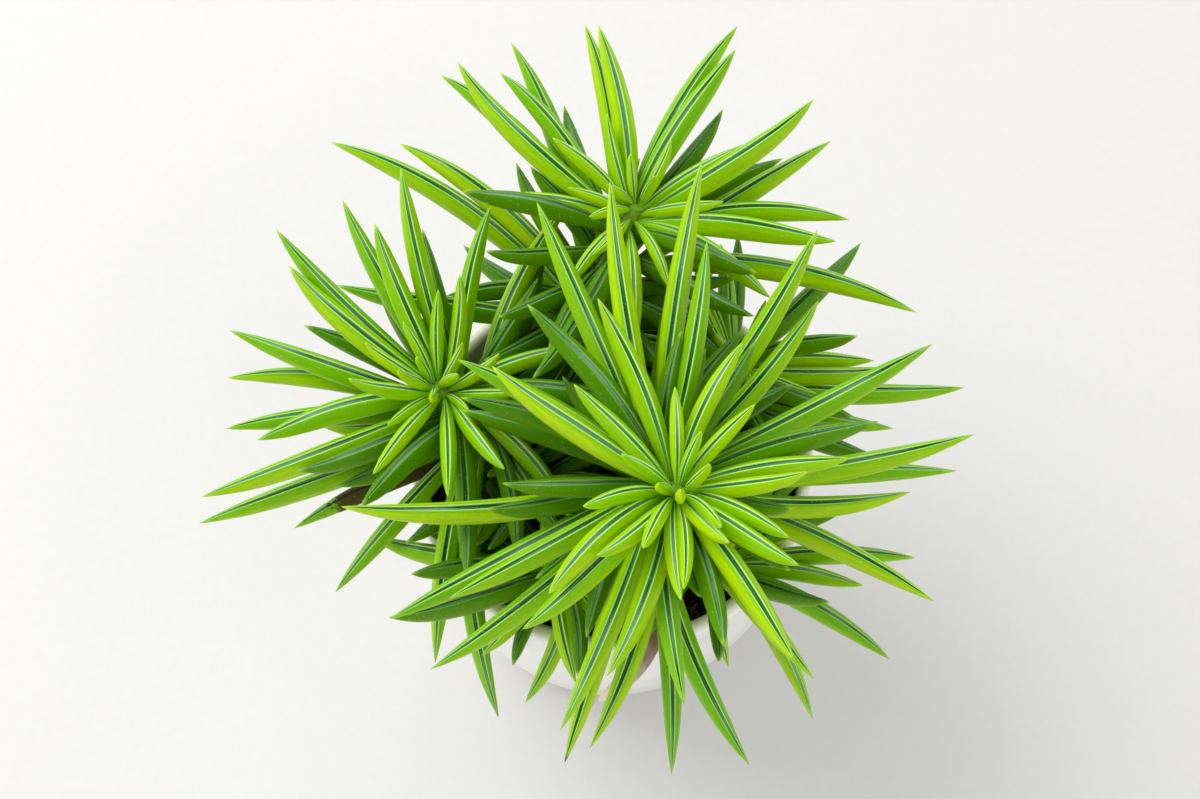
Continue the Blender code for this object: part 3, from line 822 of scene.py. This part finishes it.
# %% The dried leaf over the rim
DRIED_DEPTH = 1.1 * MM
DRIED_HALF_WIDTH = 2.9
DRIED_FACES = Vector((0.12, -0.7, 0.7))
DRIED_ROOM = 4 * MM
DRIED_ROUTE = ((19, -50, 107), (16, -56.5, 114), (12.6, -63, 117.2), (8.5, -68.4, 113.5), (4.5, -71.5, 107),
               (1, -73, 100), (-2, -73.6, 93.5), (-5, -73.8, 87))
dried_skin, tree, shader = new_material("dried_leaf_parchment")
along = add(tree, "ShaderNodeAttribute", out="Fac", attribute_name="along")
place = add(tree, "ShaderNodeTexCoord", out="Object")
blotch = add(tree, "ShaderNodeTexNoise", {"Vector": place, "Scale": 1 / (4 * MM), "Detail": 5.0})
wander = add(tree, "ShaderNodeMath", [blotch, 0.35, along], operation="MULTIPLY_ADD")
parchment = add(tree, "ShaderNodeValToRGB", [wander])
set_stops(parchment.node.color_ramp, ((0.20, "#4B3326"), (0.45, "#7C5F4A"), (0.62, "#9C8578"),
                                      (0.80, "#C9BFAA"), (1.0, "#E6E2BE")))
wrinkle = add(tree, "ShaderNodeTexNoise", {"Vector": place, "Scale": 1 / (1.2 * MM), "Detail": 4.0})
feed(shader, {**relief(tree, wrinkle, (0.45, 0.75), 0.6, 0.3 * MM, span=(0.0, 1.0)), "Base Color": parchment,
              "Subsurface Weight": 0.25, "Subsurface Scale": 1.5 * MM})

spine = [Vector(point) * MM for point in DRIED_ROUTE]
ups = []
for before, after in zip([spine[0], *spine], [*spine[1:], spine[-1]]):
    heading = (after - before).normalized()
    ups.append((DRIED_FACES - heading * DRIED_FACES.dot(heading)).normalized())
touches = sum(len(wedge(spine, ups, DRIED_ROOM, first=1).overlap(other)) for other in taken)
piece = grow_leaves("dried_leaf", [(spine, ups, DRIED_DEPTH, 0.5, 0.0, 0.0)], STATIONS, dried_skin,
                    DRIED_HALF_WIDTH)
finish_piece(piece, "dry_leaf")
print(f"{piece.name}: {len(piece.data.polygons)} faces, touches {touches}")

# %% [markdown]
# ## Stems
#
# A stem of this plant is a thick green rod with a low ring at each height where leaves leave it or
# have left it. It goes browner and drier near the mix, where it is oldest. A round ring swept along
# the axis makes it, with a radius that swells at each node, and the same kind of chain carries it.

# %% The stem tree
STEM_FOOT_RADIUS = 3.6 * MM
STEM_TIP_RADIUS = 2.0 * MM
NODE_SPACING = 7 * MM
SWELL = 0.35 * MM
stem_tree, given = new_tree("ringed_stem", [
    ("Foot radius", "NodeSocketFloat"), ("Tip radius", "NodeSocketFloat"),
    ("Node spacing", "NodeSocketFloat"), ("Swell", "NodeSocketFloat"), ("Bark", "NodeSocketMaterial"),
])
rod = add(stem_tree, "GeometryNodeMeshToCurve", [given["Geometry"]])
rod = add(stem_tree, "GeometryNodeCurveSplineType", [rod], spline_type="CATMULL_ROM")
rod = add(stem_tree, "GeometryNodeResampleCurve", {0: rod, "Count": 120})
climb = add(stem_tree, "GeometryNodeSplineParameter", out="Factor")
run = add(stem_tree, "GeometryNodeSplineParameter", out="Length")
wave = add(stem_tree, "ShaderNodeMath", [run, given["Node spacing"]], operation="DIVIDE")
wave = add(stem_tree, "ShaderNodeMath", [wave], operation="FRACT")
wave = add(stem_tree, "ShaderNodeMath", [wave, 0.5], operation="SUBTRACT")
wave = add(stem_tree, "ShaderNodeMath", [wave], operation="ABSOLUTE")
swell = add(stem_tree, "ShaderNodeMapRange", [wave, 0.32, 0.5, 0.0, given["Swell"]],
            interpolation_type="SMOOTHSTEP")
girth = add(stem_tree, "ShaderNodeMapRange", {"Value": climb, "To Min": given["Foot radius"],
                                              "To Max": given["Tip radius"]})
girth = add(stem_tree, "ShaderNodeMath", [girth, swell], operation="ADD")
rod = add(stem_tree, "GeometryNodeStoreNamedAttribute", {0: rod, "Name": "climb", "Value": climb})
ring = add(stem_tree, "GeometryNodeCurvePrimitiveCircle", {"Resolution": 24, "Radius": 1.0})
rod = add(stem_tree, "GeometryNodeCurveToMesh", {0: rod, 1: ring, "Scale": girth, "Fill Caps": True})
rod = add(stem_tree, "GeometryNodeRealizeInstances", {"Geometry": rod})
rod = add(stem_tree, "GeometryNodeSetMaterial", {"Geometry": rod, "Material": given["Bark"]})
add(stem_tree, "NodeGroupOutput", {"Geometry": rod})

# %% The stem material: living skin above, dry brown skin below
STEM_GRAIN = 0.8 * MM
stem_skin, tree, shader = new_material("succulent_stem_skin")
climb = add(tree, "ShaderNodeAttribute", out="Fac", attribute_name="climb")
place = add(tree, "ShaderNodeTexCoord", out="Object")
mottle = add(tree, "ShaderNodeTexNoise", {"Vector": place, "Scale": 0.4 / STEM_GRAIN, "Detail": 4.0})
green = add(tree, "ShaderNodeMix", [mottle, "#5E8A1C", "#93BE35"], data_type="RGBA")
brown = add(tree, "ShaderNodeMix", [mottle, "#4A3A20", "#7A7434"], data_type="RGBA")
age = add(tree, "ShaderNodeMath", [mottle, 0.25, climb], operation="MULTIPLY_ADD")
age = add(tree, "ShaderNodeMapRange", [age, 0.30, 0.62])
bark = add(tree, "ShaderNodeMix", [age, brown, green], data_type="RGBA")
grain = add(tree, "ShaderNodeTexNoise", {"Vector": place, "Scale": 1 / STEM_GRAIN, "Detail": 3.0})
feed(shader, {**relief(tree, grain, (0.42, 0.62), 0.4, 0.2 * MM), "Base Color": bark,
              "Subsurface Weight": 0.12, "Subsurface Radius": (0.5, 1.0, 0.2), "Subsurface Scale": 1.5 * MM})

# %% Grow every stem
BURIED = 10 * MM
AXIS_POINTS = 12
for shoot, stem in stems.items():
    heights = np.linspace(0, stem["height"], AXIS_POINTS)
    points = [stem_at(stem, 0) - Vector((0, 0, BURIED))] + [stem_at(stem, height) for height in heights]
    source = bpy.data.meshes.new("axis")
    source.from_pydata([tuple(point) for point in points], [(at, at + 1) for at in range(AXIS_POINTS)],
                       [])
    piece = grown_from(source, stem_tree, {
        "Foot radius": STEM_FOOT_RADIUS, "Tip radius": STEM_TIP_RADIUS, "Node spacing": NODE_SPACING,
        "Swell": SWELL, "Bark": stem_skin}, f"{shoot}_stem_rod")
    open_edges = turn_out(piece.data)
    finish_piece(piece, "stem_skin", f"{shoot}_stem")
    print(f"{piece.name}: {len(piece.data.polygons)} faces, {open_edges} open edges")

# %% [markdown]
# ## The pot
#
# The pot is slip-cast stoneware: a bowl whose wall rises from a narrower foot and draws in to
# upright, with a thick round lip. Its outline follows a rule, so it is worked out from the packed
# pot's own sizes and turned about the axis with closed poles. Turning an outline gives a fair curve
# and an even rim, which a bent and subdivided cylinder wouldn't.


# %% Turn an outline about the axis
def turned(name, outline, sides):
    """A closed mesh from an outline of (radius, height) whose ends are on the axis."""
    points, rings, faces = [], [], []
    for radius, height in outline:
        if radius < 1e-9:
            rings.append([len(points)] * sides)
            points.append((0.0, 0.0, height))
            continue
        rings.append(range(len(points), len(points) + sides))
        angles = (2 * math.pi * side / sides for side in range(sides))
        points += [(radius * math.cos(angle), radius * math.sin(angle), height) for angle in angles]
    for low, high in zip(rings, rings[1:]):
        for side in range(sides):
            after = (side + 1) % sides
            corners = (low[side], low[after], high[after], high[side])
            faces.append(tuple(dict.fromkeys(corners)))
    mesh = bpy.data.meshes.new(name)
    mesh.from_pydata(points, [], faces)
    return linked(name, mesh)


# %% The pot's outline
POT_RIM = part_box("pot")[1].x
POT_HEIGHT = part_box("pot")[1].z
POT_BASE, POT_WALL, POT_FLOOR, FOOT_ROUND = 45 * MM, 5 * MM, 6 * MM, 2 * MM
DRAW_IN = 2.2
POT_SIDES = 144
LIP = POT_WALL / 2
# The round of the foot runs out this much wider than a quarter circle, to meet the wall.
FOOT_FLARE = 1.38


def wall_radius(height):
    """The outside of the wall: steep growth at the foot, upright at the lip."""
    return POT_RIM - (POT_RIM - POT_BASE) * (1 - height / POT_HEIGHT) ** DRAW_IN


shoulder = POT_HEIGHT - LIP
foot = [(POT_BASE - FOOT_ROUND + FOOT_ROUND * math.sin(math.radians(a)) * FOOT_FLARE,
         FOOT_ROUND * (1 - math.cos(math.radians(a)))) for a in range(0, 91, 15)]
up_wall = [(wall_radius(height), height) for height in np.linspace(2 * FOOT_ROUND, shoulder, 40)]
over_lip = [(wall_radius(shoulder) - LIP + LIP * math.cos(math.radians(a)),
             shoulder + LIP * math.sin(math.radians(a))) for a in range(12, 180, 12)]
inner_foot = POT_FLOOR + FOOT_ROUND
down_wall = [(wall_radius(height) - POT_WALL, height) for height in np.linspace(shoulder, inner_foot, 40)]
pot_outline = [(0.0, 0.0), *foot, *up_wall, *over_lip, *down_wall,
               (wall_radius(POT_FLOOR) - POT_WALL - FOOT_ROUND, POT_FLOOR), (0.0, POT_FLOOR)]
pot = turned("glazed_pot", pot_outline, POT_SIDES)
print(f"pot: {len(pot.data.polygons)} faces, {turn_out(pot.data)} open edges")

# %% [markdown]
# The glaze is an opaque white over pale clay, dipped and fired to a gloss. It gives the eye a clear
# but soft reflection, faint waves where it ran, a few pinholes, and a warmer white where it is
# thinner, which is at the lip.

# %% White glaze
GLAZE_WAVE = 22 * MM
PINHOLES = 9 * MM
white_glaze, tree, shader = new_material("glazed_white_stoneware")
place = add(tree, "ShaderNodeTexCoord", out="Object")
wave = add(tree, "ShaderNodeTexNoise", {"Vector": place, "Scale": 1 / GLAZE_WAVE, "Detail": 2.0})
height = add(tree, "ShaderNodeSeparateXYZ", [place], out="Z")
thin = add(tree, "ShaderNodeMapRange", [height, POT_HEIGHT - 1.2 * MM, POT_HEIGHT],
           interpolation_type="SMOOTHSTEP")
white = add(tree, "ShaderNodeMix", [wave, "#F1F0EC", "#FAFAF8"], data_type="RGBA")
white = add(tree, "ShaderNodeMix", [thin, white, "#F2EDE3"], data_type="RGBA")
holes = add(tree, "ShaderNodeTexVoronoi", {"Vector": place, "Scale": 1 / PINHOLES}, out="Distance")
holes = add(tree, "ShaderNodeMapRange", [holes, 0.015, 0.03])
white = add(tree, "ShaderNodeMix", [holes, "#C9C4B8", white], data_type="RGBA")
feed(shader, {**relief(tree, wave, (0.10, 0.18), 0.25, 0.4 * MM), "Base Color": white, "IOR": 1.5})
pot.data.materials.append(white_glaze)
finish_piece(pot, "pot_glaze", "pot")

# %% [markdown]
# ## The potting mix
#
# The mix is bark, coir and grit. From above it is a bed of separate dark chips, a few millimetres
# across, with orange, grey and pinkish ones among them. The bed is turned like the pot and its top is
# made uneven. Geometry Nodes then scatter the chips: Distribute Points on Faces keeps them apart, and
# each is the convex hull of a few random points, which gives the flat broken facets of bark.


# %% The bed of the mix
MIX_GAP = 0.3 * MM
MIX_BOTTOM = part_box("soil")[0].z
MIX_CROWN = 3 * MM
MIX_BUMP, BUMP_SPACING, BUMP_SINK = 0.7 * MM, 5 * MM, 0.6
mix_edge = MIX_TOP - MIX_CROWN
mix_radius = wall_radius(mix_edge) - POT_WALL - MIX_GAP
bed_wall = [(wall_radius(height) - POT_WALL - MIX_GAP, height)
            for height in np.linspace(MIX_BOTTOM + FOOT_ROUND, mix_edge, 24)]
bed_top = [(mix_radius * share, mix_edge + MIX_CROWN * (1 - share**2)) for share in np.linspace(1, 0, 40)[1:]]
bed_floor = [(0.0, MIX_BOTTOM), (bed_wall[0][0] - FOOT_ROUND, MIX_BOTTOM)]
bed = turned("potting_mix_bed", bed_floor + bed_wall + bed_top, 96)
for vertex in bed.data.vertices:
    if vertex.co.z > mix_edge + 0.1 * MM:
        vertex.co.z += MIX_BUMP * (noise.noise(vertex.co / BUMP_SPACING) - BUMP_SINK)
print(f"bed: {len(bed.data.polygons)} faces, {turn_out(bed.data)} open edges")

# %% The bark material: the base colour goes from chip to chip
BARK_GRAIN = 0.6 * MM
bark_mix, tree, shader = new_material("composted_bark_mix")
kind = add(tree, "ShaderNodeAttribute", out="Fac", attribute_name="kind")
chips = add(tree, "ShaderNodeValToRGB", [kind])
chips.node.color_ramp.interpolation = "CONSTANT"
set_stops(chips.node.color_ramp, ((0.0, "#17100C"), (0.24, "#2A1B13"), (0.46, "#3D281B"), (0.64, "#5A3A24"),
                                  (0.78, "#85502B"), (0.87, "#7D6A62"), (0.93, "#A3705A"), (0.97, "#9C958B")))
place = add(tree, "ShaderNodeTexCoord", out="Object")
grain = add(tree, "ShaderNodeTexNoise", {"Vector": place, "Scale": 1 / BARK_GRAIN, "Detail": 4.0})
dark = add(tree, "ShaderNodeMapRange", [grain, 0.35, 0.65, 0.45, 0.0])
bark = add(tree, "ShaderNodeMix", [dark, chips, "#0E0906"], data_type="RGBA")
feed(shader, {**relief(tree, grain, (0.72, 0.95), 0.7, 0.3 * MM, span=(0.0, 1.0)), "Base Color": bark})
bed.data.materials.append(bark_mix)
finish_piece(bed, "potting_mix", "soil")

# %% The chip tree
SHARDS, SHARD_CORNERS = 6, 10
chip_tree, given = new_tree("bark_chips", [
    ("Spacing", "NodeSocketFloat"), ("Smallest", "NodeSocketVector"), ("Largest", "NodeSocketVector"),
    ("Seed", "NodeSocketInt"), ("Bark", "NodeSocketMaterial"),
])
shards = []
for number in range(SHARDS):
    corner = add(chip_tree, "FunctionNodeRandomValue",
                 {"Min": (-1, -1, -1), "Max": (1, 1, 1), "Seed": number}, data_type="FLOAT_VECTOR")
    cloud = add(chip_tree, "GeometryNodePoints", {"Count": SHARD_CORNERS, "Position": corner})
    shards.append(add(chip_tree, "GeometryNodeConvexHull", {"Geometry": cloud}))
shards = add(chip_tree, "GeometryNodeGeometryToInstance", [shards])
spots = add(chip_tree, "GeometryNodeDistributePointsOnFaces",
            {"Mesh": given["Geometry"], "Distance Min": given["Spacing"], "Density Max": 9e5,
             "Seed": given["Seed"]}, distribute_method="POISSON")
size = add(chip_tree, "FunctionNodeRandomValue",
           {"Min": given["Smallest"], "Max": given["Largest"], "Seed": 21}, data_type="FLOAT_VECTOR")
tilt = add(chip_tree, "FunctionNodeRandomValue", {"Min": (-0.6, -0.6, 0.0), "Max": (0.6, 0.6, 2 * math.pi),
                                                  "Seed": 22}, data_type="FLOAT_VECTOR")
which = add(chip_tree, "FunctionNodeRandomValue", {"Min": 0, "Max": SHARDS - 1, "Seed": 23}, data_type="INT")
litter = add(chip_tree, "GeometryNodeInstanceOnPoints",
             {"Points": spots, "Instance": shards, "Pick Instance": True, "Instance Index": which,
              "Rotation": tilt, "Scale": size})
kind = add(chip_tree, "FunctionNodeRandomValue", {"Min": 0.0, "Max": 1.0, "Seed": 24}, data_type="FLOAT")
litter = add(chip_tree, "GeometryNodeStoreNamedAttribute", {0: litter, "Name": "kind", "Value": kind},
             domain="INSTANCE")
litter = add(chip_tree, "GeometryNodeRealizeInstances", {"Geometry": litter})
litter = add(chip_tree, "GeometryNodeSetMaterial", {"Geometry": litter, "Material": given["Bark"]})
add(chip_tree, "NodeGroupOutput", {"Geometry": litter})

# %% Scatter the chips over the bed's top
CHIP_SPACING = 1.5 * MM
SMALLEST_CHIP = (0.6 * MM, 0.5 * MM, 0.3 * MM)
LARGEST_CHIP = (2.2 * MM, 1.4 * MM, 0.8 * MM)
EDGE_ROOM = 2.4 * MM
ground = bmesh.new()
ground.from_mesh(bed.data)
hidden = [face for face in ground.faces
          if face.normal.z < 0.5 or max(v.co.xy.length for v in face.verts) > mix_radius - EDGE_ROOM]
bmesh.ops.delete(ground, geom=hidden, context="FACES")
source = bpy.data.meshes.new("ground")
ground.to_mesh(source)
ground.free()
piece = grown_from(source, chip_tree, {
    "Spacing": CHIP_SPACING, "Smallest": SMALLEST_CHIP, "Largest": LARGEST_CHIP,
    "Seed": SEED, "Bark": bark_mix}, "bark_chips")
finish_piece(piece, "potting_mix")
print(f"chips: {len(piece.data.polygons)} faces")

# %% [markdown]
# ## Floor, light and camera
#
# A pale floor stands in for whatever the plant is put on. The light is that of a bright room: white
# from all round, with one large soft source high on the left, and a weaker one opposite. The camera
# is a short telephoto, high over the plant.

# %% Floor
FLOOR_SIZE = 6.0
floor_mesh = bpy.data.meshes.new("pale_floor")
half = FLOOR_SIZE / 2
corners = [(-half, -half, 0), (half, -half, 0), (half, half, 0), (-half, half, 0)]
floor_mesh.from_pydata(corners, [], [(0, 1, 2, 3)])
floor = linked("pale_floor", floor_mesh)
paper, tree, shader = new_material("matt_studio_paper")
place = add(tree, "ShaderNodeTexCoord", out="Object")
fibre = add(tree, "ShaderNodeTexNoise", {"Vector": place, "Scale": 300.0, "Detail": 3.0})
shade = add(tree, "ShaderNodeMix", [fibre, "#D2D1CF", "#D7D6D4"], data_type="RGBA")
feed(shader, {"Base Color": shade, "Roughness": 0.9})
floor_mesh.materials.append(paper)

# %% Light
world = bpy.data.worlds.new("bright_room")
bpy.context.scene.world = world
world.use_nodes = True
feed(world.node_tree.nodes["Background"], {"Color": "#FFFFFF", "Strength": 0.80})


def soft_light(name, place, size, power):
    """A square area light that faces the plant."""
    data = bpy.data.lights.new(name, "AREA")
    data.size, data.energy = size, power
    lamp = linked(name, data)
    lamp.location = place
    lamp.rotation_euler = (Vector((0, 0, 0.1)) - Vector(place)).to_track_quat("-Z", "Y").to_euler()


soft_light("window_side", (-0.9, 0.6, 1.5), 1.4, 26)
soft_light("room_side", (1.2, -0.9, 1.3), 1.6, 6)

# %% Camera
CAMERA_FROM = Vector((-0.0042, -0.2838, 0.8144))
CAMERA_TO = Vector((-0.0042, 0.0703, 0.0))
camera_data = bpy.data.cameras.new("camera")
camera_data.lens = 70
camera_data.sensor_width = 36
camera = linked("camera", camera_data)
camera.location = CAMERA_FROM
camera.rotation_euler = (CAMERA_TO - CAMERA_FROM).to_track_quat("-Z", "Y").to_euler()
bpy.context.scene.camera = camera
bpy.context.scene.view_settings.view_transform = "Standard"
